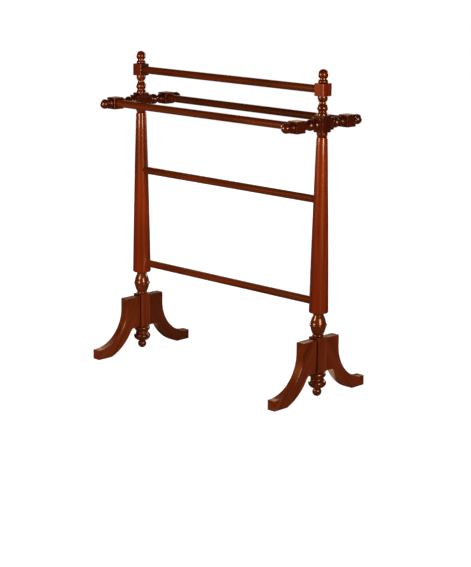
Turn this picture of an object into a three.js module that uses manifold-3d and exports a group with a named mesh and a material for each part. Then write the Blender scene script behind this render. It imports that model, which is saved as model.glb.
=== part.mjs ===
// A free-standing quilt rack: two turned wooden stands joined by five round rails.
// Millimetres. X runs along the rails, -Y is the front and +Z is up. The origin is on the floor, at the
// middle of the rack. Each stand is built at its own post's axis with its inner side facing +X.
import * as THREE from "three";
import { mergeVertices } from "three/addons/utils/BufferGeometryUtils.js";
import Module from "manifold-3d";

const wasm = await Module();
wasm.setup();

// Overall layout
const POST_SPACING = 730; // between the axes of the two posts
const HUB_BOTTOM = 75; // height of the leg hub's underside above the floor
const HUB_HEIGHT = 102;
const KNOP_HEIGHT = 70; // turned length between the hub and the column
const COLUMN_LENGTH = 495;
const CROSS_COLLAR_HEIGHT = 12; // turned length between the column and the cross block
const CROSS_BLOCK_HEIGHT = 47;
const VASE_LENGTH = 52; // turned length between the cross block and the head block
const HEAD_BLOCK_HEIGHT = 35;
const MIDDLE_RAIL_HEIGHT = 566; // above the floor, to the rail's axis
const LOWER_RAIL_HEIGHT = 277;

// Squared parts
const BLOCK_WIDTH = 34; // square section of the posts' blocks and of the arms
const HUB_WIDTH = 37;

// Cross arms, each running front to back through a post's cross block
const ARM_CENTRE_LENGTH = 59; // squared length at the middle of the arm
const ARM_VASE_LENGTH = 56.5;
const ARM_END_BLOCK_LENGTH = 36;

// Finials: a rounded ring, a short neck and a ball on a block's end
const FINIAL_RING_RADIUS = 14.4;
const FINIAL_RING_ROUNDING = 2.6; // how far the ring's rounded edge stands out from its sides
const FINIAL_RING_HEIGHT = 8.5;
const FINIAL_NECK_RADIUS = 10.6;
const FINIAL_NECK_HEIGHT = 13.9; // from the block's end to where the ball starts
const FINIAL_BALL_RADIUS = 14.4;

// Vase turnings, from a skirt on the inner block to a collar under the outer block
const VASE_SKIRT_RADIUS = 15.5;
const VASE_WAIST_RADIUS = 12.2;
const VASE_BULB_RADIUS = 15.5;
const VASE_NECK_RADIUS = 9.9;
const VASE_CUP_RADIUS = 13.1;
const VASE_COLLAR_RADIUS = 14.4;
// where each of them comes, as a share of the vase's length
const VASE_SKIRT_END = 0.04;
const VASE_WAIST_AT = 0.2;
const VASE_BULB_AT = 0.37;
const VASE_NECK_AT = 0.69;
const VASE_CUP_AT = 0.8;
const VASE_COLLAR_AT = 0.92;

// Columns
const COLUMN_BASE_RADIUS = 27.4;
const COLUMN_TOP_RADIUS = 15.7;
const COLUMN_ENTASIS = 0.9; // how far the side bulges past a straight taper
const COLUMN_CHAMFER = 2.6;
const COLUMN_SHOULDER = 5; // height of the rounded shoulder at the top
const COLUMN_NECK_RADIUS = 13.4;
const CROSS_COLLAR_RADIUS = 15.4;

// Knops: two cones meeting at a sharp ridge, over a bead on the hub
const KNOP_NECK_RADIUS = 14.8;
const KNOP_NECK_LENGTH = 7; // straight length under the column
const KNOP_RIDGE_RADIUS = 26;
const KNOP_RIDGE_HEIGHT = 34.6; // above the hub's top
const KNOP_CONE_RADIUS = 21.2; // where each cone starts to flare out to the ridge
const KNOP_CONE_FULLNESS = 3.4; // how far each cone's side swells past a straight line
const KNOP_FLARE = 10; // height of each flare
const KNOP_BEAD_RADIUS = 16.8;
const KNOP_BEAD_ROUNDING = 2;
const KNOP_BEAD_HEIGHT = 7;

// Pendants under the hubs: a ring, a flattened bead and a small ball, measured down from the hub
const PENDANT_RING_RADIUS = 24.5;
const PENDANT_RING_HEIGHT = 15;
const PENDANT_NECK_RADIUS = 18.8;
const PENDANT_NECK_DROP = 19;
const PENDANT_BEAD_RADIUS = 26.5;
const PENDANT_BEAD_DROP = 32.5;
const PENDANT_WRIST_RADIUS = 8.3;
const PENDANT_BALL_RADIUS = 13.3;
const PENDANT_BALL_DROP = 58.5; // from the hub to the ball's centre

// Legs, sawn from flat boards: reach is measured from the post's axis
const LEG_THICKNESS = 27.5;
const LEG_TOP_DROP = 5; // the leg's top lies this much under the hub's top
const LEG_TOP_REACH = 75.5;
const LEG_TOE_REACH = 190.5;
const LEG_TOE_FLAT = 4.5; // flat on top of the toe
const LEG_TOE_HEIGHT = 29.5;
const LEG_SWEEP_WIDTH = 37.2; // between the outer and the inner sweep of the leg
const LEG_SHOULDER_REACH = 42; // where the underside leaves the level of the hub's bottom
const LEG_SHOULDER_DROP = 11; // where the rounded shoulder runs into the inner sweep

// Rails and joints
const RAIL_DIAMETER = 22.4;
const RAIL_SEAT = 12; // how deep a rail sits in a block or a column
const DOWEL_DIAMETER = 10;
const DOWEL_IN_HUB = 13;
const DOWEL_IN_LEG = 25;
const DOWEL_END_DISTANCE = 26; // from the top and bottom of a leg's joint to its dowels
const COLUMN_TENON_DIAMETER = 16;
const COLUMN_FOOT_TENON_LENGTH = 30;
const COLUMN_HEAD_TENON_LENGTH = 14;
const PENDANT_TENON_DIAMETER = 18;
const PENDANT_TENON_LENGTH = 16;
const GLUE_GAP = 0.3; // clearance left round every glued joint
const CUTTER_OVERRUN = 1; // how far a cutter starts outside the face it cuts

// Fineness of the round work
const ROUND_SIDES = 18;
const DOWEL_SIDES = 12;
const CURVE_STEPS = 3;
const LEG_CURVE_STEPS = 8;

// Heights that follow from the stack of parts
const HUB_TOP = HUB_BOTTOM + HUB_HEIGHT;
const COLUMN_FOOT = HUB_TOP + KNOP_HEIGHT;
const COLUMN_HEAD = COLUMN_FOOT + COLUMN_LENGTH;
const CROSS_BLOCK_BOTTOM = COLUMN_HEAD + CROSS_COLLAR_HEIGHT;
const CROSS_BLOCK_TOP = CROSS_BLOCK_BOTTOM + CROSS_BLOCK_HEIGHT;
const ARM_HEIGHT = (CROSS_BLOCK_BOTTOM + CROSS_BLOCK_TOP) / 2;
const HEAD_BLOCK_BOTTOM = CROSS_BLOCK_TOP + VASE_LENGTH;
const HEAD_BLOCK_TOP = HEAD_BLOCK_BOTTOM + HEAD_BLOCK_HEIGHT;
const TOP_RAIL_HEIGHT = (HEAD_BLOCK_BOTTOM + HEAD_BLOCK_TOP) / 2;
const ARM_BLOCK_START = ARM_CENTRE_LENGTH / 2 + ARM_VASE_LENGTH;
const ARM_BLOCK_END = ARM_BLOCK_START + ARM_END_BLOCK_LENGTH;
const SIDE_RAIL_REACH = (ARM_BLOCK_START + ARM_BLOCK_END) / 2;
const HALF_BLOCK = BLOCK_WIDTH / 2;
const HALF_HUB = HUB_WIDTH / 2;
const RAIL_RADIUS = RAIL_DIAMETER / 2;
const LEG_TOP = HUB_TOP - LEG_TOP_DROP;
const DOWEL_HEIGHTS = [HUB_BOTTOM + DOWEL_END_DISTANCE, LEG_TOP - DOWEL_END_DISTANCE];

// The tapered side of a column is one parabola from its foot's chamfer to its shoulder
const COLUMN_SIDE_START = COLUMN_FOOT + COLUMN_CHAMFER;
const COLUMN_SIDE_END = COLUMN_HEAD - COLUMN_SHOULDER;
const COLUMN_BULGE = (COLUMN_BASE_RADIUS + COLUMN_TOP_RADIUS) / 2 + 2 * COLUMN_ENTASIS;

// Wood colours
const MAHOGANY = { color: 0x64200d, roughness: 0.28, metalness: 0 };
const RAIL_MAHOGANY = { color: 0x5a1e0f, roughness: 0.32, metalness: 0 };
const BEECH = { color: 0xc79a63, roughness: 0.6, metalness: 0 };

// ---- Solids -------------------------------------------------------------------------------------

function toSolid(geometry) {
  const bare = geometry.index ? geometry.toNonIndexed() : geometry.clone();
  bare.deleteAttribute("normal");
  bare.deleteAttribute("uv");
  const merged = mergeVertices(bare);
  const mesh = new wasm.Mesh({
    numProp: 3,
    vertProperties: merged.attributes.position.array,
    triVerts: new Uint32Array(merged.index.array),
  });
  return new wasm.Manifold(mesh);
}

function toGeometry(solid) {
  const { vertProperties, triVerts } = solid.getMesh();
  const geometry = new THREE.BufferGeometry();
  geometry.setAttribute("position", new THREE.BufferAttribute(vertProperties, 3));
  geometry.setIndex(new THREE.BufferAttribute(triVerts, 1));
  geometry.computeVertexNormals();
  return geometry;
}

function combine(added, removed = []) {
  const whole = added.map(toSolid).reduce((a, b) => a.add(b));
  return toGeometry(removed.map(toSolid).reduce((a, b) => a.subtract(b), whole));
}

function named(name, geometry, finish) {
  const mesh = new THREE.Mesh(geometry, new THREE.MeshStandardMaterial(finish));
  mesh.name = name;
  return mesh;
}

// A box from its width, depth and height, centred on x, y, z
function boxAt(size, x, y, z) {
  return new THREE.BoxGeometry(...size).translate(x, y, z);
}

// A cylinder along X that starts at x and runs to x + length
function rodAlongX(radius, length, x, y, z) {
  const rod = new THREE.CylinderGeometry(radius, radius, length, ROUND_SIDES);
  return rod.rotateZ(-Math.PI / 2).translate(x + length / 2, y, z);
}

// A dowel, or the hole for one, along Y from y to y + length
function dowelAlongY(radius, length, y, z) {
  return new THREE.CylinderGeometry(radius, radius, length, DOWEL_SIDES).translate(0, y + length / 2, z);
}

// A cylinder standing on z
function rodAlongZ(radius, length, z) {
  const rod = new THREE.CylinderGeometry(radius, radius, length, ROUND_SIDES);
  return rod.rotateX(Math.PI / 2).translate(0, 0, z + length / 2);
}

// Turns a profile of radius against height about the Z axis
function turned(profile) {
  return new THREE.LatheGeometry(profile.getPoints(CURVE_STEPS), ROUND_SIDES).rotateX(Math.PI / 2);
}

// ---- Turnings: each draws on from where the profile has come to ----------------------------------

// A soft S-shaped run to a radius at a height, upright at both of its ends
function sweepTo(profile, radius, height) {
  const { x, y } = profile.currentPoint;
  const middle = (y + height) / 2;
  profile.bezierCurveTo(x, middle, radius, middle, radius, height);
}

// A band with a half-round edge, standing out from its own two sides by its rounding
function addBand(profile, radius, rounding, from, to) {
  profile.lineTo(radius - rounding, from);
  const half = (to - from) / 2;
  profile.absellipse(radius - rounding, from + half, rounding, half, -Math.PI / 2, Math.PI / 2, false, 0);
}

// A ball from the neck it sits on to its far end
function addBall(profile, radius, neckRadius, centre) {
  profile.absarc(0, centre, radius, -Math.acos(neckRadius / radius), Math.PI / 2, false);
}

function addFinial(profile, base) {
  const neckEnd = base + FINIAL_NECK_HEIGHT;
  const ballDrop = Math.sqrt(FINIAL_BALL_RADIUS ** 2 - FINIAL_NECK_RADIUS ** 2);
  addBand(profile, FINIAL_RING_RADIUS, FINIAL_RING_ROUNDING, base, base + FINIAL_RING_HEIGHT);
  sweepTo(profile, FINIAL_NECK_RADIUS, (base + FINIAL_RING_HEIGHT + neckEnd) / 2);
  profile.lineTo(FINIAL_NECK_RADIUS, neckEnd);
  addBall(profile, FINIAL_BALL_RADIUS, FINIAL_NECK_RADIUS, neckEnd + ballDrop);
}

function addVase(profile, base, length) {
  const at = (share) => base + share * length;
  profile.lineTo(VASE_SKIRT_RADIUS, base);
  profile.lineTo(VASE_SKIRT_RADIUS, at(VASE_SKIRT_END));
  sweepTo(profile, VASE_WAIST_RADIUS, at(VASE_WAIST_AT));
  sweepTo(profile, VASE_BULB_RADIUS, at(VASE_BULB_AT));
  sweepTo(profile, VASE_NECK_RADIUS, at(VASE_NECK_AT));
  sweepTo(profile, VASE_CUP_RADIUS, at(VASE_CUP_AT));
  profile.lineTo(VASE_COLLAR_RADIUS, at(VASE_COLLAR_AT));
  profile.lineTo(VASE_COLLAR_RADIUS, base + length);
}

// ---- Stand parts --------------------------------------------------------------------------------

// Ball finial, head block, vase and cross block in one turning, lapped over the arm
function upperPost() {
  const collarMiddle = COLUMN_HEAD + CROSS_COLLAR_HEIGHT / 2;
  const profile = new THREE.Path();
  profile.moveTo(0, COLUMN_HEAD + GLUE_GAP);
  profile.lineTo(COLUMN_NECK_RADIUS, COLUMN_HEAD + GLUE_GAP);
  sweepTo(profile, CROSS_COLLAR_RADIUS, collarMiddle);
  profile.lineTo(CROSS_COLLAR_RADIUS, CROSS_BLOCK_BOTTOM);
  addVase(profile, CROSS_BLOCK_TOP, VASE_LENGTH);
  addFinial(profile, HEAD_BLOCK_TOP);
  const crossBlock = [BLOCK_WIDTH, BLOCK_WIDTH, CROSS_BLOCK_HEIGHT];
  const headBlock = [BLOCK_WIDTH, BLOCK_WIDTH, HEAD_BLOCK_HEIGHT];
  const lap = [BLOCK_WIDTH, 2 * BLOCK_WIDTH, BLOCK_WIDTH + 2 * GLUE_GAP];
  const socketDepth = COLUMN_HEAD_TENON_LENGTH + GLUE_GAP;
  return combine(
    [turned(profile), boxAt(crossBlock, 0, 0, ARM_HEIGHT), boxAt(headBlock, 0, 0, TOP_RAIL_HEIGHT)],
    [
      boxAt(lap, HALF_BLOCK - GLUE_GAP / 2, 0, ARM_HEIGHT),
      railSocket(HALF_BLOCK, 0, TOP_RAIL_HEIGHT),
      tenonSocket(COLUMN_TENON_DIAMETER, socketDepth + CUTTER_OVERRUN, COLUMN_HEAD - CUTTER_OVERRUN),
    ],
  );
}

// A round socket along Z for a tenon, with the joint's clearance round it
function tenonSocket(diameter, depth, z) {
  return rodAlongZ(diameter / 2 + GLUE_GAP, depth, z);
}

// A blind socket for a rail's end, drilled from the inner face at x = face
function railSocket(face, y, z) {
  const depth = RAIL_SEAT + GLUE_GAP;
  return rodAlongX(RAIL_RADIUS + GLUE_GAP, depth + BLOCK_WIDTH, face - depth, y, z);
}

// The long tapered column with a round tenon at each end
function column() {
  const tenon = COLUMN_TENON_DIAMETER / 2;
  const footEnd = COLUMN_FOOT - COLUMN_FOOT_TENON_LENGTH;
  const headEnd = COLUMN_HEAD + COLUMN_HEAD_TENON_LENGTH;
  const profile = new THREE.Path();
  profile.moveTo(0, footEnd);
  profile.lineTo(tenon, footEnd);
  profile.lineTo(tenon, COLUMN_FOOT);
  profile.lineTo(COLUMN_BASE_RADIUS - COLUMN_CHAMFER, COLUMN_FOOT);
  profile.lineTo(COLUMN_BASE_RADIUS, COLUMN_SIDE_START);
  profile.quadraticCurveTo(
    COLUMN_BULGE, (COLUMN_SIDE_START + COLUMN_SIDE_END) / 2,
    COLUMN_TOP_RADIUS, COLUMN_SIDE_END,
  );
  profile.quadraticCurveTo(COLUMN_TOP_RADIUS, COLUMN_HEAD, COLUMN_NECK_RADIUS, COLUMN_HEAD);
  profile.lineTo(tenon, COLUMN_HEAD);
  profile.lineTo(tenon, headEnd);
  profile.lineTo(0, headEnd);
  return combine(
    [turned(profile)],
    [MIDDLE_RAIL_HEIGHT, LOWER_RAIL_HEIGHT].map((z) => railSocket(columnRadiusAt(z), 0, z)),
  );
}

// The column's radius at a height on its tapered side
function columnRadiusAt(z) {
  const t = (z - COLUMN_SIDE_START) / (COLUMN_SIDE_END - COLUMN_SIDE_START);
  return (1 - t) ** 2 * COLUMN_BASE_RADIUS + 2 * t * (1 - t) * COLUMN_BULGE + t ** 2 * COLUMN_TOP_RADIUS;
}

// The square leg hub with the knop turned above it
function hubPost() {
  const inside = HUB_TOP - HALF_HUB; // the turning starts within the hub's block
  const bead = KNOP_BEAD_RADIUS - KNOP_BEAD_ROUNDING;
  const beadTop = HUB_TOP + KNOP_BEAD_HEIGHT;
  const ridge = HUB_TOP + KNOP_RIDGE_HEIGHT;
  const neck = COLUMN_FOOT - KNOP_NECK_LENGTH;
  const top = COLUMN_FOOT - GLUE_GAP;
  const flareRadius = (KNOP_CONE_RADIUS + KNOP_RIDGE_RADIUS) / 2 - 1;
  const profile = new THREE.Path();
  profile.moveTo(0, inside);
  profile.lineTo(bead, inside);
  addBand(profile, KNOP_BEAD_RADIUS, KNOP_BEAD_ROUNDING, HUB_TOP, beadTop);
  const coneControl = (from, to) => [(bead + KNOP_CONE_RADIUS + KNOP_CONE_FULLNESS) / 2, (from + to) / 2];
  profile.quadraticCurveTo(...coneControl(beadTop, ridge - KNOP_FLARE), KNOP_CONE_RADIUS, ridge - KNOP_FLARE);
  profile.quadraticCurveTo(flareRadius, ridge - KNOP_FLARE / 3, KNOP_RIDGE_RADIUS, ridge);
  profile.quadraticCurveTo(flareRadius, ridge + KNOP_FLARE / 3, KNOP_CONE_RADIUS, ridge + KNOP_FLARE);
  profile.quadraticCurveTo(...coneControl(ridge + KNOP_FLARE, neck), KNOP_NECK_RADIUS, neck);
  profile.lineTo(KNOP_NECK_RADIUS, top);
  profile.lineTo(0, top);
  const columnSocket = COLUMN_FOOT_TENON_LENGTH + GLUE_GAP;
  const pendantSocket = PENDANT_TENON_LENGTH + GLUE_GAP;
  const holes = DOWEL_HEIGHTS.flatMap((z) => [-1, 1].map((side) => hubDowelHole(side, z)));
  return combine(
    [turned(profile), boxAt([HUB_WIDTH, HUB_WIDTH, HUB_HEIGHT], 0, 0, HUB_BOTTOM + HUB_HEIGHT / 2)],
    [
      tenonSocket(COLUMN_TENON_DIAMETER, columnSocket + CUTTER_OVERRUN, COLUMN_FOOT - columnSocket),
      tenonSocket(PENDANT_TENON_DIAMETER, pendantSocket + CUTTER_OVERRUN, HUB_BOTTOM - CUTTER_OVERRUN),
      ...holes,
    ],
  );
}

function hubDowelHole(side, z) {
  const depth = DOWEL_IN_HUB + GLUE_GAP;
  const start = side > 0 ? HALF_HUB - depth : -HALF_HUB - CUTTER_OVERRUN;
  return dowelAlongY(DOWEL_DIAMETER / 2 + GLUE_GAP, depth + CUTTER_OVERRUN, start, z);
}

// The pendant is drawn the other way up: its profile rises from the hub's face to the ball
function pendant() {
  const tenon = PENDANT_TENON_DIAMETER / 2;
  const wrist = PENDANT_BALL_DROP - Math.sqrt(PENDANT_BALL_RADIUS ** 2 - PENDANT_WRIST_RADIUS ** 2);
  const beadDepth = wrist - PENDANT_BEAD_DROP;
  const profile = new THREE.Path();
  profile.moveTo(0, -PENDANT_TENON_LENGTH);
  profile.lineTo(tenon, -PENDANT_TENON_LENGTH);
  profile.lineTo(tenon, GLUE_GAP);
  const ringRounding = PENDANT_RING_RADIUS - PENDANT_NECK_RADIUS;
  addBand(profile, PENDANT_RING_RADIUS, ringRounding, GLUE_GAP, PENDANT_RING_HEIGHT);
  profile.lineTo(PENDANT_NECK_RADIUS, PENDANT_NECK_DROP);
  sweepTo(profile, PENDANT_BEAD_RADIUS, PENDANT_BEAD_DROP);
  profile.bezierCurveTo(
    PENDANT_BEAD_RADIUS, PENDANT_BEAD_DROP + beadDepth / 2,
    2 * PENDANT_WRIST_RADIUS, wrist,
    PENDANT_WRIST_RADIUS, wrist,
  );
  addBall(profile, PENDANT_BALL_RADIUS, PENDANT_WRIST_RADIUS, PENDANT_BALL_DROP);
  return turned(profile);
}

// The cross arm: a squared centre, and on each side a vase, an end block for a rail and a finial
function arm() {
  const profile = new THREE.Path();
  profile.moveTo(0, 0);
  profile.lineTo(VASE_SKIRT_RADIUS, 0);
  addVase(profile, ARM_CENTRE_LENGTH / 2, ARM_VASE_LENGTH);
  addFinial(profile, ARM_BLOCK_END);
  const halves = [-1, 1].map((side) => turned(profile).rotateX((-side * Math.PI) / 2));
  const centre = boxAt([BLOCK_WIDTH, ARM_CENTRE_LENGTH, BLOCK_WIDTH], 0, 0, 0);
  const endBlocks = [-1, 1].map((side) =>
    boxAt([BLOCK_WIDTH, ARM_END_BLOCK_LENGTH, BLOCK_WIDTH], 0, side * SIDE_RAIL_REACH, 0),
  );
  const lap = boxAt([BLOCK_WIDTH, BLOCK_WIDTH + 2 * GLUE_GAP, 2 * BLOCK_WIDTH], GLUE_GAP / 2 - HALF_BLOCK, 0, 0);
  const sockets = [-1, 1].map((side) => railSocket(HALF_BLOCK, side * SIDE_RAIL_REACH, 0));
  return combine([...halves, centre, ...endBlocks], [lap, ...sockets]);
}

// One sabre leg, drawn with its reach along the shape's x and its height along the shape's y
function leg() {
  const outerRadius = LEG_TOE_REACH - LEG_TOE_FLAT - LEG_TOP_REACH;
  const innerRadius = outerRadius + LEG_SWEEP_WIDTH;
  const centreReach = LEG_TOP_REACH + outerRadius;
  const centreHeight = LEG_TOE_HEIGHT + outerRadius;
  const shoulderHeight = HUB_BOTTOM - LEG_SHOULDER_DROP;
  const heelAngle = -Math.PI / 2 - Math.acos(centreHeight / innerRadius);
  const shoulderAngle = -Math.PI + Math.asin((centreHeight - shoulderHeight) / innerRadius);
  const shoulderReach = centreReach + innerRadius * Math.cos(shoulderAngle);
  const shoulderCorner = shoulderReach - LEG_SHOULDER_DROP * Math.tan(Math.PI + shoulderAngle);
  const joint = HALF_HUB + GLUE_GAP;
  const outline = new THREE.Shape();
  outline.moveTo(joint, HUB_BOTTOM);
  outline.lineTo(LEG_SHOULDER_REACH, HUB_BOTTOM);
  outline.quadraticCurveTo(shoulderCorner, HUB_BOTTOM, shoulderReach, shoulderHeight);
  outline.absarc(centreReach, centreHeight, innerRadius, shoulderAngle, heelAngle, false);
  outline.lineTo(LEG_TOE_REACH, 0);
  outline.lineTo(LEG_TOE_REACH, LEG_TOE_HEIGHT);
  outline.lineTo(centreReach, LEG_TOE_HEIGHT);
  outline.absarc(centreReach, centreHeight, outerRadius, -Math.PI / 2, -Math.PI, true);
  outline.lineTo(LEG_TOP_REACH, LEG_TOP);
  outline.lineTo(joint, LEG_TOP);
  const board = new THREE.ExtrudeGeometry(outline, {
    depth: LEG_THICKNESS,
    bevelEnabled: false,
    curveSegments: LEG_CURVE_STEPS,
  });
  board.translate(0, 0, -LEG_THICKNESS / 2);
  board.rotateX(Math.PI / 2).rotateZ(Math.PI / 2);
  const holeDepth = DOWEL_IN_LEG + GLUE_GAP + CUTTER_OVERRUN;
  const holes = DOWEL_HEIGHTS.map((z) =>
    dowelAlongY(DOWEL_DIAMETER / 2 + GLUE_GAP, holeDepth, HALF_HUB - CUTTER_OVERRUN, z),
  );
  return combine([board], holes);
}

// A plain dowel between the hub and a leg on its +Y side
function legDowel(z) {
  const inHub = DOWEL_IN_HUB - GLUE_GAP;
  return dowelAlongY(DOWEL_DIAMETER / 2, inHub + DOWEL_IN_LEG, HALF_HUB - inHub, z);
}

// ---- Assembly -----------------------------------------------------------------------------------

// A leg with its dowels; the leg is drawn towards +Y and turned to the front where it is needed
function legGroup(standName, place, turn) {
  const group = new THREE.Group();
  group.add(named(`${standName}_${place}_leg`, leg(), MAHOGANY));
  DOWEL_HEIGHTS.forEach((z, i) => {
    const level = ["lower", "upper"][i];
    group.add(named(`${standName}_${place}_leg_${level}_dowel`, legDowel(z), BEECH));
  });
  group.rotation.z = turn;
  return group;
}

// A stand's inner side faces +X before it is turned; the right stand is the left one turned half round
function stand(name, x, turn) {
  const group = new THREE.Group();
  const armMesh = named(`${name}_cross_arm`, arm(), MAHOGANY);
  armMesh.position.z = ARM_HEIGHT;
  const pendantMesh = named(`${name}_pendant`, pendant(), MAHOGANY);
  pendantMesh.rotation.x = Math.PI;
  pendantMesh.position.z = HUB_BOTTOM;
  group.add(
    named(`${name}_upper_post`, upperPost(), MAHOGANY),
    named(`${name}_column`, column(), MAHOGANY),
    named(`${name}_hub_post`, hubPost(), MAHOGANY),
    pendantMesh,
    armMesh,
    legGroup(name, "front", Math.PI - turn),
    legGroup(name, "back", -turn),
  );
  group.rotation.z = turn;
  group.position.x = x;
  return group;
}

// A plain rod between two sockets, whose mouths stand the given distance in from the posts' axes
function rail(name, mouth, y, z) {
  const length = POST_SPACING - 2 * (mouth - RAIL_SEAT);
  return named(name, rodAlongX(RAIL_RADIUS, length, -length / 2, y, z), RAIL_MAHOGANY);
}

function rack() {
  const group = new THREE.Group();
  group.add(
    stand("left", -POST_SPACING / 2, 0),
    stand("right", POST_SPACING / 2, Math.PI),
    rail("top_rail", HALF_BLOCK, 0, TOP_RAIL_HEIGHT),
    rail("front_rail", HALF_BLOCK, -SIDE_RAIL_REACH, ARM_HEIGHT),
    rail("back_rail", HALF_BLOCK, SIDE_RAIL_REACH, ARM_HEIGHT),
    rail("middle_rail", columnRadiusAt(MIDDLE_RAIL_HEIGHT), 0, MIDDLE_RAIL_HEIGHT),
    rail("lower_rail", columnRadiusAt(LOWER_RAIL_HEIGHT), 0, LOWER_RAIL_HEIGHT),
  );
  return group;
}

export default rack();
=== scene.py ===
# The finished look of a turned mahogany quilt rack: finely turned posts and arms, sawn sabre legs,
# round rails, a glossy stained finish, and the studio it stands in. Profiles are worked out in millimetres
# and everything else in metres.
import math

import bmesh
import bpy
from bpy.props import FloatProperty, FloatVectorProperty, IntProperty, PointerProperty
from mathutils import Matrix, Vector


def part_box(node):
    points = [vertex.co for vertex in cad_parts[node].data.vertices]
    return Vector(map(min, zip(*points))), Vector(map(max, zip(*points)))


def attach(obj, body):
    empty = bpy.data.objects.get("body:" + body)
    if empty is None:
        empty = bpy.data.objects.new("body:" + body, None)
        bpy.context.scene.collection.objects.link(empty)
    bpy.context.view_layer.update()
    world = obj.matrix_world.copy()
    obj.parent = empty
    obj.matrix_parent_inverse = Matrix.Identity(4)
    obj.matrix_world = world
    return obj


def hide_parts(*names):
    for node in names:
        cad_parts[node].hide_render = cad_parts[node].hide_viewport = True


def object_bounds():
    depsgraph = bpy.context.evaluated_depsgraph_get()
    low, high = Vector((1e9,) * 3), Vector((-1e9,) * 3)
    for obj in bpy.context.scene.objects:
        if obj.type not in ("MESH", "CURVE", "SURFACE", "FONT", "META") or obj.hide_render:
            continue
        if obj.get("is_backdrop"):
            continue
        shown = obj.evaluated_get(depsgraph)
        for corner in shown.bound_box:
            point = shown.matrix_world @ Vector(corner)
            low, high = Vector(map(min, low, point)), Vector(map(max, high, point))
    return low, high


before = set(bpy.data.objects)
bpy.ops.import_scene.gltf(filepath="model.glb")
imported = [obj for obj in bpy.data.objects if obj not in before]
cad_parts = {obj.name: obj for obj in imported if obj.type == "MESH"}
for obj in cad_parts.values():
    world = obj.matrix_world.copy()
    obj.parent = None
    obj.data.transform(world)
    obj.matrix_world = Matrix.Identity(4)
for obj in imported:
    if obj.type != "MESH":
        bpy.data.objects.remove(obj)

bl_info = {
    "name": "Turned quilt rack",
    "version": (1, 0, 0),
    "blender": (4, 5, 0),
    "location": "3D View > Sidebar > Quilt Rack",
    "description": "Builds a turned mahogany quilt rack around its packed frame",
    "category": "Add Mesh",
}

MM = 0.001
FRAME_LOW, FRAME_HIGH = (Vector(corner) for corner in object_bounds())
SIDES = ("left", "right")
PLACES = ("front", "back")
RAILS = ("top_rail", "front_rail", "back_rail", "middle_rail", "lower_rail")


def box_middle(node):
    """The middle of a frame node's box."""
    low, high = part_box(node)
    return (low + high) / 2


def box_size(node):
    """The width, depth and height of a frame node's box."""
    low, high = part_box(node)
    return high - low


RAIL_DIAMETER = box_size("top_rail").y
BLOCK_WIDTH = box_size("left_cross_arm").x
LEG_THICKNESS = box_size("left_front_leg").x
ARM_HEIGHT = box_middle("left_cross_arm").z
TOP_RAIL_HEIGHT = box_middle("top_rail").z

# Sizes in metres that the frame's boxes don't give.
DOWEL_HOLE_RADIUS = 0.0053
DOWEL_END_ROOM = 0.0005  # between a dowel's end and the bottom of its hole
CUT_PAST = 0.06  # how far a cutter reaches past the piece that it cuts

# Sizes in millimetres that the frame's boxes don't give.
GLUE_GAP = 0.3
SOCKET_DEPTH = 12  # how deep a rail sits
CROSS_BLOCK_HALF = 23.5
HEAD_BLOCK_HALF = 17.5
COLLAR_RADIUS = 15.4
ARM_CENTRE_HALF = 29.5
END_BLOCK_HALF = 18
FINIAL_RING_RADIUS = 14.4
FINIAL_RING_PROUD = 2.6
FINIAL_RING_HEIGHT = 8.5
FINIAL_NECK_RADIUS = 10.6
FINIAL_NECK_HEIGHT = 13.9
FINIAL_BALL_RADIUS = 14.4
VASE_FOOT_RADIUS = 15.5
VASE_WAIST_RADIUS = 12.2
VASE_NECK_RADIUS = 9.9
VASE_CUP_RADIUS = 13.1
VASE_COLLAR_RADIUS = 14.4
TENON_RADIUS = 8.0
TENON_HOLE_RADIUS = TENON_RADIUS + GLUE_GAP
TENON_POINT_RADIUS = 7.4  # at the end of a tenon's chamfer
COLUMN_FOOT_TENON = 30
COLUMN_HEAD_TENON = 14
COLUMN_HEAD_RADIUS = 15.7
COLUMN_SWELL = 1.8  # how far the column's side bulges past a straight taper
KNOP_HEIGHT = 69.7
KNOP_RIDGE_RISE = 34.6
KNOP_RING_HEIGHT = 7
KNOP_CONE = 10  # from the ridge to where each cone's slope eases
KNOP_CONE_RADIUS = 21.2
KNOP_NECK_RADIUS = 14.8
PENDANT_TENON = 16
PENDANT_TENON_RADIUS = 9.0
PENDANT_WRIST_RADIUS = 8.3
PENDANT_BALL_RADIUS = 13.3
PENDANT_BEAD_DROP = 32.5
LEG_BOTTOM = 75.0  # where the leg's lower edge meets the hub
LEG_TOP_REACH = 75.5
LEG_FLAT_REACH = 42.0  # where the lower edge starts to turn down
LEG_DROP = 11.0
LEG_TOE_FLAT = 4.5
LEG_TOE_HEIGHT = 29.5
LEG_SWEEP_WIDTH = 37.2

# How much of its own colour a piece keeps under the stain and painted shade: 1 is all of it and 0 is as dark
# as the pores. The head blocks' tones, the hub faces that the legs join, the top rail's left end and the
# left back leg are painted shade; the others are the stain's depth.
BLOCK_TONE = 0.28
# Painted shade: the left head block is darker all over, and each head block's inner face, where the top rail
# enters, is darker still.
HEAD_TONES_AND_SHADE = {"left": 0.66, "right": 1.0}
HEAD_INNER_SHADE_TONE = 0.16
POST_TONE = 0.6
COLUMN_TONE = 0.94
KNOP_TONE = 0.68
# Painted shade: the hub's faces beside the legs are darkened.
HUB_SHADED_SIDE_TONE = 0.36  # on the two faces that the legs join
PENDANT_TONE = 0.55
ARM_TONE = 0.30
# Painted shade: the top rail darkens towards its left end, by the left head block. The back rail is darker
# all along.
RAIL_TONES_AND_SHADE = {"back_rail": (0.42, 0.42), "top_rail": (0.50, 0.86)}  # at the left end and at the right
OTHER_RAIL_TONES = (0.79, 0.79)
# Painted shadow: the left back leg is darkened for the shadow that the right column casts on it from the end
# lamp.
SHADOWED_LEG = "left_back_leg"
SHADOWED_LEG_TONE = 0.56

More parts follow.
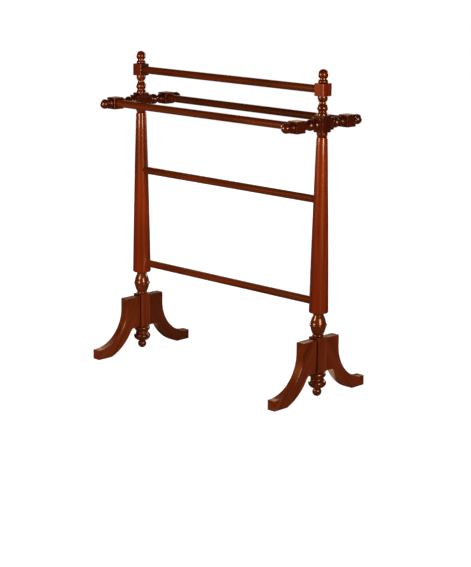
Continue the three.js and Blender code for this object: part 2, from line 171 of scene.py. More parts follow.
# Powers in watts and colours of the lamps that the panel leaves alone.
HIGH_CARD_POWER = 8.0
LOW_CARD_POWER = 0.6
FLOOR_GLOWS = (("left", 0.13, 0.02), ("right", 0.105, 0.08))  # side, reach inwards in metres, power
REAR_SHARE = 0.6  # power of the lamps behind as a share of those in front
OVERHEAD_SHARE = 0.35
AMBER = (1, 0.65, 0.38)
DEEP_AMBER = (1, 0.60, 0.34)
STRAW = (1, 0.74, 0.46)


# ---- What can be changed ------------------------------------------------------------------------

class RackSizes(bpy.types.PropertyGroup):
    """Sizes of the fine work that the frame leaves open."""

    edge: FloatProperty(
        name="Eased edge", description="Rounding of the squared parts' edges",
        default=1.1 * MM, min=0.2 * MM, max=3 * MM, subtype="DISTANCE", unit="LENGTH")
    joint_line: FloatProperty(
        name="Joint line", description="Open width of the line round a rail's socket",
        default=0.2 * MM, min=0.05 * MM, max=1 * MM, subtype="DISTANCE", unit="LENGTH")
    hub_width: FloatProperty(
        name="Hub width", description="Width of the square hub that the legs join",
        default=37 * MM, min=30 * MM, max=50 * MM, subtype="DISTANCE", unit="LENGTH")
    round_sides: IntProperty(
        name="Round sides", description="Faces round each turned part",
        default=96, min=32, max=192)


class RackFinish(bpy.types.PropertyGroup):
    """Colours and gloss of the wood."""

    red_light: FloatVectorProperty(
        name="Light red wood", description="Colour of the posts and arms between their grain lines",
        default=(0.188, 0.0150, 0.0008), size=3, subtype="COLOR", min=0, max=1)
    red_dark: FloatVectorProperty(
        name="Dark red wood", description="Colour of the posts and arms in their grain lines",
        default=(0.062, 0.0036, 0.0004), size=3, subtype="COLOR", min=0, max=1)
    brown_light: FloatVectorProperty(
        name="Light brown wood", description="Colour of the rails, hubs and legs between their grain lines",
        default=(0.152, 0.0205, 0.0020), size=3, subtype="COLOR", min=0, max=1)
    brown_dark: FloatVectorProperty(
        name="Dark brown wood", description="Colour of the rails, hubs and legs in their grain lines",
        default=(0.042, 0.0052, 0.0008), size=3, subtype="COLOR", min=0, max=1)
    # Besides the pores, this colour paints the shade in creases and corners, and the darker tones that stand
    # for shade on some pieces.
    pore: FloatVectorProperty(
        name="Pores", description="Colour of the filled pores and of the stain gathered in corners",
        default=(0.010, 0.0016, 0.0006), size=3, subtype="COLOR", min=0, max=1)
    # The lighter colour along the edges is partly wear and partly painted highlight.
    worn_and_highlit: FloatVectorProperty(
        name="Worn edge", description="Colour of the wood along its rubbed edges",
        default=(0.42, 0.115, 0.032), size=3, subtype="COLOR", min=0, max=1)
    sheen: FloatVectorProperty(
        name="Wood glow", description="Colour of the soft reflection from the wood under the lacquer",
        default=(1.0, 0.38, 0.10), size=3, subtype="COLOR", min=0, max=1)
    beech: FloatVectorProperty(
        name="Dowel wood", description="Colour of the bare beech dowels",
        default=(0.55, 0.34, 0.18), size=3, subtype="COLOR", min=0, max=1)
    gloss: FloatProperty(
        name="Lacquer roughness", description="Roughness of the clear lacquer",
        default=0.07, min=0.02, max=0.6, subtype="FACTOR")


class RackStage(bpy.types.PropertyGroup):
    """Floor, lamps and camera."""

    floor: FloatVectorProperty(
        name="Floor", description="Colour of the pale floor",
        default=(0.14, 0.14, 0.138), size=3, subtype="COLOR", min=0, max=1)
    front_power: FloatProperty(
        name="Front lamp", description="Power of the soft lamp in front of the rack",
        default=18, min=0, max=1000, unit="POWER")
    end_power: FloatProperty(
        name="End lamp", description="Power of the soft lamp at the right-hand end",
        default=62, min=0, max=1000, unit="POWER")
    fill_power: FloatProperty(
        name="Fill lamps", description="Power of each large soft lamp that fills the shade",
        default=26, min=0, max=1000, unit="POWER")
    back_power: FloatProperty(
        name="Back lamp", description="Power of the large soft lamp behind the rack",
        default=95, min=0, max=1000, unit="POWER")
    lamp_colour: FloatVectorProperty(
        name="Lamp colour", description="Colour of the front and end lamps",
        default=(1.0, 0.80, 0.60), size=3, subtype="COLOR", min=0, max=1)
    camera_place: FloatVectorProperty(
        name="Camera", description="Where the camera stands",
        default=(3.3334, -3.3914, 1.3669), size=3, subtype="TRANSLATION", unit="LENGTH")
    camera_heading: FloatProperty(
        name="Heading", description="Turn of the camera to the left of looking along +Y",
        default=math.radians(44.16), subtype="ANGLE", unit="ROTATION")
    camera_pitch: FloatProperty(
        name="Pitch", description="How far the camera looks down",
        default=math.radians(13), subtype="ANGLE", unit="ROTATION")
    camera_roll: FloatProperty(
        name="Roll", description="Tilt of the camera about its own axis",
        default=math.radians(-0.5), subtype="ANGLE", unit="ROTATION")
    camera_lens: FloatProperty(
        name="Lens", description="Focal length on a 36 mm sensor",
        default=105.12, min=20, max=300, unit="CAMERA")


# ---- Turning ------------------------------------------------------------------------------------

class Turning:
    """A profile turned about Z, with squared blocks left in it. Radii and heights are millimetres."""

    def __init__(self, start):
        self.rings = [(0.0, start, 0.0)]  # radius or half width, height, roundness of a square's corners

    def to(self, radius, height):
        self.rings.append((radius, height, 0.0))

    def sweep(self, radius, height, steps=10):
        """A soft S-shaped run, upright at both of its ends."""
        r0, z0, _ = self.rings[-1]
        for i in range(1, steps + 1):
            t = i / steps
            ease = t * t * (3 - 2 * t)
            self.to(r0 + (radius - r0) * ease, bezier(z0, (z0 + height) / 2, (z0 + height) / 2, height, t))

    def curve(self, control, end, steps=10):
        """A plain curve bent towards its control point."""
        r0, z0, _ = self.rings[-1]
        for i in range(1, steps + 1):
            t = i / steps
            a, b, c = (1 - t) ** 2, 2 * t * (1 - t), t * t
            self.to(a * r0 + b * control[0] + c * end[0], a * z0 + b * control[1] + c * end[1])

    def ellipse(self, centre_height, side, proud, half, first, last, steps=12):
        """Part of an ellipse standing proud of a side, from one angle to another, in degrees."""
        for i in range(steps + 1):
            angle = math.radians(first + (last - first) * i / steps)
            self.to(side + proud * math.cos(angle), centre_height + half * math.sin(angle))

    def band(self, radius, proud, low, high):
        """A half-round band."""
        self.ellipse((low + high) / 2, radius - proud, proud, (high - low) / 2, -90, 90)

    def ball(self, radius, neck, centre):
        """A ball from the neck it sits on to its far pole."""
        start = -math.degrees(math.acos(neck / radius))
        self.ellipse(centre, 0, radius, radius, start, 90, 28)
        self.rings[-1] = (0.0, centre + radius, 0.0)

    def block(self, half, low, high, edge):
        """A squared block with eased edges."""
        support = 1.2
        eased = [(edge * (1 - math.sin(a)), edge * (1 - math.cos(a))) for a in (0.0, 0.52, 1.05, 1.57)]
        rows = [(half - edge - support, low)]
        rows += [(half - inset, low + rise) for inset, rise in eased]
        rows += [(half, low + edge + support), (half, high - edge - support)]
        rows += [(half - inset, high - rise) for inset, rise in reversed(eased)]
        rows += [(half - edge - support, high)]
        self.rings += [(width, height, edge) for width, height in rows]

    def mesh(self, name, sides):
        """The closed surface, in metres."""
        angles = ring_angles(sides)
        made = bmesh.new()
        rows = []
        for radius, height, corner in self.rings:
            if radius == 0:
                rows.append([made.verts.new((0, 0, height * MM))])
                continue
            points = (square_reach(a, radius, corner) if corner else radius for a in angles)
            rows.append([
                made.verts.new((reach * math.cos(a) * MM, reach * math.sin(a) * MM, height * MM))
                for reach, a in zip(points, angles)])
        for lower, upper in zip(rows, rows[1:]):
            join_rows(made, lower, upper)
        mesh = bpy.data.meshes.new(name)
        bmesh.ops.recalc_face_normals(made, faces=made.faces)
        made.to_mesh(mesh)
        made.free()
        return mesh


def bezier(a, b, c, d, t):
    """A cubic curve's value at t."""
    u = 1 - t
    return u ** 3 * a + 3 * u * u * t * b + 3 * u * t * t * c + t ** 3 * d


def ring_angles(sides):
    """Angles round a ring, evenly spaced but for a close group at each corner of a square."""
    near = (-1.75, -0.92, 0.0, 0.92, 1.75)
    step = 360 / sides
    angles = []
    for i in range(sides):
        degrees = i * step
        if abs((degrees % 90) - 45) > 2.6:
            angles.append(degrees)
    angles += [corner + d for corner in (45, 135, 225, 315) for d in near]
    return [math.radians(a) for a in sorted(angles)]


def square_reach(angle, half, corner):
    """How far a square with rounded corners reaches at an angle."""
    c, s = abs(math.cos(angle)), abs(math.sin(angle))
    c, s = max(c, s), min(c, s)
    inner = half - corner
    if s / c <= inner / half:
        return half / c
    along = inner * (c + s)
    return along + math.sqrt(max(along * along - 2 * inner * inner + corner * corner, 0))


def join_rows(made, lower, upper):
    """Faces between two rings, either of which may be a single point."""
    count = max(len(lower), len(upper))
    for i in range(count):
        j = (i + 1) % count
        if len(lower) == 1:
            made.faces.new((lower[0], upper[j], upper[i]))
        elif len(upper) == 1:
            made.faces.new((lower[i], lower[j], upper[0]))
        else:
            made.faces.new((lower[i], lower[j], upper[j], upper[i]))


# ---- Pieces -------------------------------------------------------------------------------------

def new_piece(name, mesh):
    """An object that holds a mesh, in the scene."""
    piece = bpy.data.objects.new(name, mesh)
    bpy.context.scene.collection.objects.link(piece)
    return piece


def rod_mesh(name, radius, length, sides=72, ease=0.0, low=0.0):
    """A rod along Z from low, with eased ends, in metres."""
    rod = Turning(low / MM)
    radius, length, ease, low = radius / MM, length / MM, ease / MM, low / MM
    rod.to(radius - ease, low)
    if ease:
        rod.curve((radius, low), (radius, low + ease), 4)
        rod.to(radius, low + 3 * ease)
        rod.to(radius, low + length - 3 * ease)
        rod.to(radius, low + length - ease)
        rod.curve((radius, low + length), (radius - ease, low + length), 4)
    else:
        rod.to(radius, low + length)
    rod.rings.append((0.0, low + length, 0.0))
    return rod.mesh(name, sides)


def cutter(mesh, matrix):
    """A shape to cut a piece with, placed in the piece's own space."""
    mesh.transform(matrix)
    return new_piece("cutter", mesh)


def rod_cutter(radius, start, direction, length):
    """A round cutter from a point along a direction."""
    turn = Vector((0, 0, 1)).rotation_difference(Vector(direction)).to_matrix().to_4x4()
    return cutter(rod_mesh("cutter", radius, length), Matrix.Translation(start) @ turn)


def box_cutter(low, high):
    """A box-shaped cutter between two corners."""
    made = bmesh.new()
    bmesh.ops.create_cube(made, size=1)
    mesh = bpy.data.meshes.new("cutter")
    made.to_mesh(mesh)
    made.free()
    low, high = Vector(low), Vector(high)
    matrix = Matrix.Translation((low + high) / 2) @ Matrix.Diagonal((*(high - low), 1))
    return cutter(mesh, matrix)


def carve(piece, cutters):
    """Cuts the cutters out of a piece whose object still stands at the origin."""
    for shape in cutters:
        cut = piece.modifiers.new("cut", "BOOLEAN")
        cut.operation = "DIFFERENCE"
        cut.solver = "EXACT"
        cut.object = shape
    bpy.context.view_layer.update()
    carved = bpy.data.meshes.new_from_object(piece.evaluated_get(bpy.context.evaluated_depsgraph_get()))
    piece.modifiers.clear()
    if len(carved.polygons) <= len(cutters):
        raise RuntimeError(f"{piece.name}: nothing is left after the cut")
    piece.data = carved
    for shape in cutters:
        mesh = shape.data
        bpy.data.objects.remove(shape)
        bpy.data.meshes.remove(mesh)


def finish_piece(piece, matrix, node, wood, tone):
    """Shades a piece, gives it its wood, puts it in place and hands it to the frame."""
    mesh = piece.data
    mesh.shade_smooth()
    mesh.set_sharp_from_angle(angle=math.radians(38))
    weighted = piece.modifiers.new("even", "WEIGHTED_NORMAL")
    weighted.keep_sharp = True
    bpy.context.view_layer.update()
    shaded = bpy.data.meshes.new_from_object(piece.evaluated_get(bpy.context.evaluated_depsgraph_get()))
    piece.modifiers.clear()
    piece.data = shaded
    seed = (sum(ord(c) * (i + 1) for i, c in enumerate(node)) % 97) / 97
    write_attribute(shaded, "piece_seed", lambda point: seed)
    write_attribute(shaded, "piece_tone_and_shade", tone)
    shaded.materials.clear()
    shaded.materials.append(wood)
    piece.matrix_world = matrix
    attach(piece, "root")
    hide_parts(node)


def write_attribute(mesh, name, value_at):
    """One number for each point of a mesh, from where the point is."""
    attribute = mesh.attributes.new(name, "FLOAT", "POINT")
    attribute.data.foreach_set("value", [value_at(vertex.co) for vertex in mesh.vertices])


# ---- Wood ---------------------------------------------------------------------------------------

class Wire:
    """A value socket in a node tree that can stand in an expression."""

    def __init__(self, tree, socket):
        self.tree = tree
        self.socket = socket

    def maths(self, operation, *values):
        return self.tree.node("ShaderNodeMath", {"operation": operation}, *values).out()

    def __add__(self, other):
        return self.maths("ADD", self, other)

    def __sub__(self, other):
        return self.maths("SUBTRACT", self, other)

    def __rsub__(self, other):
        return self.maths("SUBTRACT", other, self)

    def __mul__(self, other):
        return self.maths("MULTIPLY", self, other)

    def __pow__(self, other):
        return self.maths("POWER", self, other)

    __radd__ = __add__
    __rmul__ = __mul__


class Node:
    """A node that has been made and filled in."""

    def __init__(self, tree, made):
        self.tree = tree
        self.made = made

    def out(self, name=0):
        return Wire(self.tree, self.made.outputs[name])


class Tree:
    """A material's node tree."""

    def __init__(self, name):
        self.material = bpy.data.materials.new(name)
        self.material.use_nodes = True
        self.nodes = self.material.node_tree.nodes
        self.links = self.material.node_tree.links
        self.nodes.clear()

    def node(self, kind, settings=None, *values, **named):
        """Adds a node: its settings first, then the values or links of its sockets."""
        made = self.nodes.new(kind)
        for key, value in (settings or {}).items():
            setattr(made, key, value)
        for key, value in [*enumerate(values), *named.items()]:
            socket = made.inputs[key if isinstance(key, int) else key.replace("_", " ")]
            if isinstance(value, Wire):
                self.links.new(value.socket, socket)
            else:
                socket.default_value = value
        return Node(self, made)

    def vector(self, operation, *values):
        return self.node("ShaderNodeVectorMath", {"operation": operation}, *values)

    def noise(self, place, scale, detail):
        """Soft noise round 0.5, drawn out differently along each axis."""
        stretched = self.vector("MULTIPLY", place, scale).out()
        return self.node("ShaderNodeTexNoise", None, Vector=stretched, Scale=1.0, Detail=detail).out("Fac")

    def mix(self, factor, first, second):
        """A colour between two colours."""
        made = self.node("ShaderNodeMix", {"data_type": "RGBA"})
        for index, value in ((0, factor), (6, first), (7, second)):
            socket = made.made.inputs[index]
            if isinstance(value, Wire):
                self.links.new(value.socket, socket)
            else:
                socket.default_value = (*value, 1) if index else value
        return made.out(2)

    def step(self, value, low, high):
        """0 under low, 1 over high, and smooth between them."""
        settings = {"interpolation_type": "SMOOTHSTEP"}
        return self.node("ShaderNodeMapRange", settings, value, low, high, 0.0, 1.0).out()

    def finish(self, **sockets):
        """A Principled surface and the output."""
        surface = self.node("ShaderNodeBsdfPrincipled", None, **sockets)
        self.node("ShaderNodeOutputMaterial", None, Surface=surface.out())
        return self.material


def grain_place(tree, grain):
    """The place in the board, with its third number along the grain, shifted from piece to piece."""
    along = Vector(grain).normalized()
    across = along.orthogonal().normalized()
    place = tree.node("ShaderNodeTexCoord").out("Object")
    numbers = [tree.vector("DOT_PRODUCT", place, tuple(axis)).out("Value")
               for axis in (across, along.cross(across), along)]
    seed = tree.node("ShaderNodeAttribute", {"attribute_name": "piece_seed"}).out("Fac")
    shifted = [number + seed * shift for number, shift in zip(numbers, (0.31, 0.53, 1.7))]
    return tree.node("ShaderNodeCombineXYZ", None, *shifted).out(), numbers, seed


def stained_wood(name, grain, finish, light, dark):
    """Stained and lacquered mahogany: growth rings, streaks, filled pores, edges lightened partly by wear
    and partly as painted highlight, and painted shade in creases and corners.
    """
    tree = Tree(name)
    place, (x, y, _), seed = grain_place(tree, grain)
    wander = tree.noise(place, (22, 22, 3), 2.0)
    ring = ((x + 0.031 + seed * 0.02) ** 2 + (y - 0.018) ** 2) ** 0.5
    ring = (ring + wander * 0.011) * (2 * math.pi / 0.0042)
    ring = ring.maths("SINE", ring) * 0.5 + 0.5
    streak = tree.noise(place, (230, 230, 5), 4.0)
    ribbon = tree.noise(place, (60, 60, 2.2), 2.0)
    mottle = tree.noise(place, (9, 9, 5), 1.0)
    pore = tree.step(tree.noise(place, (1150, 1150, 42), 1.0), 0.60, 0.72)
    figure = ring * 0.12 + streak * 0.50 + ribbon * 0.46 + mottle * 0.36 - 0.22
    colour = tree.mix(tree.step(figure, 0.22, 0.78), dark, light)
    colour = tree.mix(pore * 0.42, colour, finish.pore)
    # Painted shade: an occlusion mask darkens creases, corners and the joints between parts towards the
    # pores' colour.
    painted_crease_shade = tree.node("ShaderNodeAmbientOcclusion", {"samples": 8}, Distance=0.013).out("AO")
    painted_crease_shade = 1.0 - tree.step(painted_crease_shade, 0.25, 0.85)
    inside = {"samples": 8, "inside": True}
    # Edges lightened towards the edge colour: partly wear and partly painted highlight.
    highlit_and_rubbed = tree.node("ShaderNodeAmbientOcclusion", inside, Distance=0.0028).out("AO")
    highlit_and_rubbed = (1.0 - tree.step(highlit_and_rubbed, 0.42, 0.78)) * tree.step(mottle + streak * 0.4, 0.45, 0.85)
    colour = tree.mix(highlit_and_rubbed * 0.55, colour, finish.worn_and_highlit)
    colour = tree.mix(painted_crease_shade * 0.78, colour, finish.pore)
    tone = tree.node("ShaderNodeAttribute", {"attribute_name": "piece_tone_and_shade"}).out("Fac")
    # Darkening by tone towards the pores' colour: the stain's depth, and painted shade on the faces and
    # pieces named with the tones.
    colour = tree.mix(1.0 - tone, colour, finish.pore)
    rough = streak * 0.12 + pore * 0.10 + highlit_and_rubbed * 0.12 + 0.26
    height = streak * 0.35 - pore
    bump = tree.node("ShaderNodeBump", None, Strength=0.28, Distance=0.00012, Height=height).out()
    return tree.finish(
        Base_Color=colour, Roughness=rough, Normal=bump, IOR=1.5, Specular_IOR_Level=0.6,
        Specular_Tint=(*finish.sheen, 1), Coat_Weight=0.8 - highlit_and_rubbed * 0.6, Coat_Roughness=finish.gloss)


def bare_beech(name, grain, finish):
    """Pale bare wood with short flecks."""
    tree = Tree(name)
    place, _, _ = grain_place(tree, grain)
    streak = tree.noise(place, (500, 500, 18), 3.0)
    fleck = tree.step(tree.noise(place, (900, 900, 240), 1.0), 0.58, 0.68)
    pale = tuple(finish.beech)
    deep = tuple(0.62 * c for c in pale)
    colour = tree.mix(tree.step(streak, 0.3, 0.7), deep, pale)
    colour = tree.mix(fleck * 0.5, colour, tuple(0.4 * c for c in pale))
    bump = tree.node("ShaderNodeBump", None, Strength=0.3, Distance=0.0001, Height=streak).out()
    return tree.finish(Base_Color=colour, Roughness=streak * 0.2 + 0.5, Normal=bump)


MATERIALS = {}


def material(name, finish):
    """The named wood, made once."""
    makers = {
        "red": lambda: stained_wood("Mahogany_red", (0, 0, 1), finish, finish.red_light, finish.red_dark),
        "brown": lambda: stained_wood(
            "Mahogany_brown", (0, 0, 1), finish, finish.brown_light, finish.brown_dark),
        "sawn": lambda: stained_wood(
            "Mahogany_sawn", (0, 0.6, -0.8), finish, finish.brown_light, finish.brown_dark),
        "beech": lambda: bare_beech("Beech_dowel", (0, 1, 0), finish),
    }
    if name not in MATERIALS:
        MATERIALS[name] = makers[name]()
    return MATERIALS[name]


# ---- Mouldings shared by the posts and the arms -------------------------------------------------

def add_finial(turning, base):
    """A ring, a short neck and a ball."""
    neck_end = base + FINIAL_NECK_HEIGHT
    ball_rise = math.sqrt(FINIAL_BALL_RADIUS ** 2 - FINIAL_NECK_RADIUS ** 2)
    turning.band(FINIAL_RING_RADIUS, FINIAL_RING_PROUD, base, base + FINIAL_RING_HEIGHT)
    turning.sweep(FINIAL_NECK_RADIUS, base + FINIAL_RING_HEIGHT + 2, 6)
    turning.to(FINIAL_NECK_RADIUS, neck_end)
    turning.ball(FINIAL_BALL_RADIUS, FINIAL_NECK_RADIUS, neck_end + ball_rise)


def add_vase(turning, base, length):
    """A skirt, waist, bulb, neck, cup and collar, from the inner block to the outer one."""
    def at(share):
        return base + share * length
    turning.to(VASE_FOOT_RADIUS, base)
    turning.to(VASE_FOOT_RADIUS, at(0.04))
    turning.sweep(VASE_WAIST_RADIUS, at(0.20))
    turning.sweep(VASE_FOOT_RADIUS, at(0.37))
    turning.sweep(VASE_NECK_RADIUS, at(0.69), 14)
    turning.sweep(VASE_CUP_RADIUS, at(0.80))
    turning.to(13.3, at(0.815))
    turning.sweep(VASE_COLLAR_RADIUS, at(0.92), 5)
    turning.to(VASE_COLLAR_RADIUS, base + length)


def in_rail_sockets(sizes, faces):
    """Round cutters for rails that enter at the given points along +X."""
    radius = RAIL_DIAMETER / 2 + sizes.joint_line
    depth = SOCKET_DEPTH * MM + sizes.joint_line
    bottoms = [Vector(face) - Vector((depth, 0, 0)) for face in faces]
    return [rod_cutter(radius, bottom, (1, 0, 0), depth + CUT_PAST) for bottom in bottoms]


def stand_matrix(side):
    """The place of a stand: its inner side faces +X before it is turned."""
    x = box_middle(f"{side}_upper_post").x
    turn = Matrix.Rotation(math.pi if side == "right" else 0, 4, "Z")
    return Matrix.Translation((x, 0, 0)) @ turn


# ---- Operators: one for each kind of piece ------------------------------------------------------

class RACK_OT_upper_posts(bpy.types.Operator):
    """Turn the upper posts with their finials, head blocks, vases and cross blocks"""

    bl_idname = "rack.upper_posts"
    bl_label = "Upper Posts"

    def execute(self, context):
        sizes, finish = context.scene.rack_sizes, context.scene.rack_finish
        half = BLOCK_WIDTH / 2 / MM
        edge = sizes.edge / MM
        for side in SIDES:
            node = f"{side}_upper_post"
            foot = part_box(node)[0].z / MM
            arm = ARM_HEIGHT / MM
            head = TOP_RAIL_HEIGHT / MM
            block_low, block_high = arm - CROSS_BLOCK_HALF, arm + CROSS_BLOCK_HALF
            head_low, head_high = head - HEAD_BLOCK_HALF, head + HEAD_BLOCK_HALF
            post = Turning(foot + COLUMN_HEAD_TENON)
            post.to(TENON_HOLE_RADIUS, foot + COLUMN_HEAD_TENON)
            post.to(TENON_HOLE_RADIUS, foot)
            post.to(13.0, foot)
            post.to(13.4, foot + 0.5)
            post.sweep(COLLAR_RADIUS, foot + 6, 8)
            post.to(COLLAR_RADIUS, block_low)
            post.block(half, block_low, block_high, edge)
            add_vase(post, block_high, head_low - block_high)
            post.block(half, head_low, head_high, edge)
            add_finial(post, head_high)
            piece = new_piece(f"{side}_upper_post_turned", post.mesh(node, sizes.round_sides))
            gap = sizes.joint_line / 2
            lap = half * MM + gap
            notch = box_cutter(
                (gap, -CUT_PAST, ARM_HEIGHT - lap), (CUT_PAST, CUT_PAST, ARM_HEIGHT + lap))
            carve(piece, [notch, *in_rail_sockets(sizes, [(half * MM, 0, TOP_RAIL_HEIGHT)])])

            blocks = (
                (block_low, block_high, BLOCK_TONE, BLOCK_TONE),
                (head_low, head_high, HEAD_TONES_AND_SHADE[side], HEAD_INNER_SHADE_TONE),
            )

            # Painted shade on the head blocks: the left one is darker, and the inner faces are darker still.
            def tone(point):
                for low, high, block_tone, inner_tone_and_shade in blocks:
                    if low <= point.z / MM <= high:
                        return inner_tone_and_shade if point.x / MM > half - 0.01 else block_tone
                return POST_TONE

            finish_piece(piece, stand_matrix(side), node, material("red", finish), tone)
        return {"FINISHED"}


class RACK_OT_columns(bpy.types.Operator):
    """Turn the long tapered columns"""

    bl_idname = "rack.columns"
    bl_label = "Columns"

    def execute(self, context):
        sizes, finish = context.scene.rack_sizes, context.scene.rack_finish
        rails = [box_middle(rail).z for rail in ("middle_rail", "lower_rail")]
        for side in SIDES:
            node = f"{side}_column"
            low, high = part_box(node)
            foot = low.z / MM + COLUMN_FOOT_TENON
            head = high.z / MM - COLUMN_HEAD_TENON
            base_radius = (high.y - low.y) / 2 / MM
            side_low, side_high = foot + 2.6, head - 5
            bulge = ((base_radius + COLUMN_HEAD_RADIUS) / 2 + COLUMN_SWELL, (side_low + side_high) / 2)
            column = Turning(low.z / MM)
            column.to(TENON_POINT_RADIUS, low.z / MM)
            column.to(TENON_RADIUS, low.z / MM + 0.8)
            column.to(TENON_RADIUS, foot)
            column.to(base_radius - 2.8, foot)
            column.curve((base_radius - 1.6, foot), (base_radius - 1.2, foot + 0.9), 4)
            column.curve((base_radius, foot + 1.9), (base_radius, side_low), 4)
            column.curve(bulge, (COLUMN_HEAD_RADIUS, side_high), 48)
            column.curve((COLUMN_HEAD_RADIUS, head - 0.6), (13.4, head), 8)
            column.to(TENON_RADIUS, head)
            column.to(TENON_RADIUS, high.z / MM - 0.8)
            column.to(TENON_POINT_RADIUS, high.z / MM)
            column.rings.append((0.0, high.z / MM, 0.0))
            piece = new_piece(f"{side}_column_turned", column.mesh(node, sizes.round_sides))
            faces = []
            for z in rails:
                t = (z / MM - side_low) / (side_high - side_low)
                radius = (1 - t) ** 2 * base_radius + 2 * t * (1 - t) * bulge[0] + t * t * COLUMN_HEAD_RADIUS
                faces.append((radius * MM, 0, z))
            carve(piece, in_rail_sockets(sizes, faces))
            finish_piece(
                piece, stand_matrix(side), node, material("red", finish),
                lambda point: COLUMN_TONE)
        return {"FINISHED"}


class RACK_OT_hub_posts(bpy.types.Operator):
    """Turn the knops on their square leg hubs"""

    bl_idname = "rack.hub_posts"
    bl_label = "Hub Posts"

    def execute(self, context):
        sizes, finish = context.scene.rack_sizes, context.scene.rack_finish
        half = sizes.hub_width / 2 / MM
        for side in SIDES:
            node = f"{side}_hub_post"
            low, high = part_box(node)
            ridge_radius = (high.x - low.x) / 2 / MM
            bottom, top = low.z / MM, high.z / MM
            hub_top = top - KNOP_HEIGHT
            ring_top = hub_top + KNOP_RING_HEIGHT
            ridge = hub_top + KNOP_RIDGE_RISE
            neck = top - 6.7
            mortise_top = bottom + PENDANT_TENON + GLUE_GAP
            mortise_bottom = top - COLUMN_FOOT_TENON - GLUE_GAP
            post = Turning(mortise_top)
            post.to(PENDANT_TENON_RADIUS + GLUE_GAP, mortise_top)
            post.to(PENDANT_TENON_RADIUS + GLUE_GAP, bottom)
            post.block(half, bottom, hub_top, sizes.edge / MM)
            post.band(16.8, 2.0, hub_top, ring_top)
            post.curve((19.7, (ring_top + ridge - KNOP_CONE) / 2), (KNOP_CONE_RADIUS, ridge - KNOP_CONE), 10)
            post.curve((22.2, ridge - 4.4), (ridge_radius - 1.3, ridge - 2.2), 8)
            post.band(ridge_radius, 1.3, ridge - 2.2, ridge + 1.4)
            post.curve((22.2, ridge + 3.8), (KNOP_CONE_RADIUS, ridge + KNOP_CONE), 8)
            post.curve((19.7, (ridge + KNOP_CONE + neck) / 2), (14.9, neck - 0.5), 10)
            post.to(KNOP_NECK_RADIUS, neck + 0.3)
            post.to(KNOP_NECK_RADIUS, top)
            post.to(TENON_HOLE_RADIUS, top)
            post.to(TENON_HOLE_RADIUS, mortise_bottom)
            post.rings.append((0.0, mortise_bottom, 0.0))
            piece = new_piece(f"{side}_hub_post_turned", post.mesh(node, sizes.round_sides))
            holes = []
            for place in PLACES:
                for level in ("lower", "upper"):
                    dowel_low, dowel_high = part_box(f"{side}_{place}_leg_{level}_dowel")
                    sign = -1 if place == "front" else 1
                    depth = half * MM - min(abs(dowel_low.y), abs(dowel_high.y)) + DOWEL_END_ROOM
                    z = (dowel_low.z + dowel_high.z) / 2
                    start = (0, sign * (half * MM - depth), z)
                    holes.append(rod_cutter(DOWEL_HOLE_RADIUS, start, (0, sign, 0), depth + 0.01))
            carve(piece, holes)

            # Painted shade on the hub's two faces that the legs join.
            def tone(point):
                if point.z / MM > hub_top:
                    return KNOP_TONE
                return HUB_SHADED_SIDE_TONE if abs(point.y) / MM > half - 0.01 else 1.0

            finish_piece(piece, stand_matrix(side), node, material("brown", finish), tone)
        return {"FINISHED"}


class RACK_OT_pendants(bpy.types.Operator):
    """Turn the pendants under the hubs"""

    bl_idname = "rack.pendants"
    bl_label = "Pendants"

    def execute(self, context):
        sizes, finish = context.scene.rack_sizes, context.scene.rack_finish
        for side in SIDES:
            node = f"{side}_pendant"
            low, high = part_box(node)
            face = high.z / MM - PENDANT_TENON  # the hub's underside
            bead_radius = (high.x - low.x) / 2 / MM
            ball = face - low.z / MM - PENDANT_BALL_RADIUS
            wrist = ball - math.sqrt(PENDANT_BALL_RADIUS ** 2 - PENDANT_WRIST_RADIUS ** 2)
            pendant = Turning(-PENDANT_TENON)
            pendant.to(PENDANT_TENON_RADIUS - 0.6, -PENDANT_TENON)
            pendant.to(PENDANT_TENON_RADIUS, 0.6 - PENDANT_TENON)
            pendant.to(PENDANT_TENON_RADIUS, GLUE_GAP)
            pendant.band(24.5, 5.7, GLUE_GAP, 15)
            pendant.to(18.8, 19)
            pendant.sweep(bead_radius, PENDANT_BEAD_DROP, 12)
            bead_middle = (PENDANT_BEAD_DROP + wrist) / 2
            for i in range(1, 15):
                t = i / 14
                pendant.to(
                    bezier(bead_radius, bead_radius, 2 * PENDANT_WRIST_RADIUS, PENDANT_WRIST_RADIUS, t),
                    bezier(PENDANT_BEAD_DROP, bead_middle, wrist, wrist, t))
            pendant.ball(PENDANT_BALL_RADIUS, PENDANT_WRIST_RADIUS, ball)
            piece = new_piece(f"{side}_pendant_turned", pendant.mesh(node, sizes.round_sides))
            x = box_middle(node).x
            place = Matrix.Translation((x, 0, face * MM)) @ Matrix.Rotation(math.pi, 4, "X")
            finish_piece(
                piece, place, node, material("brown", finish), lambda point: PENDANT_TONE)
        return {"FINISHED"}


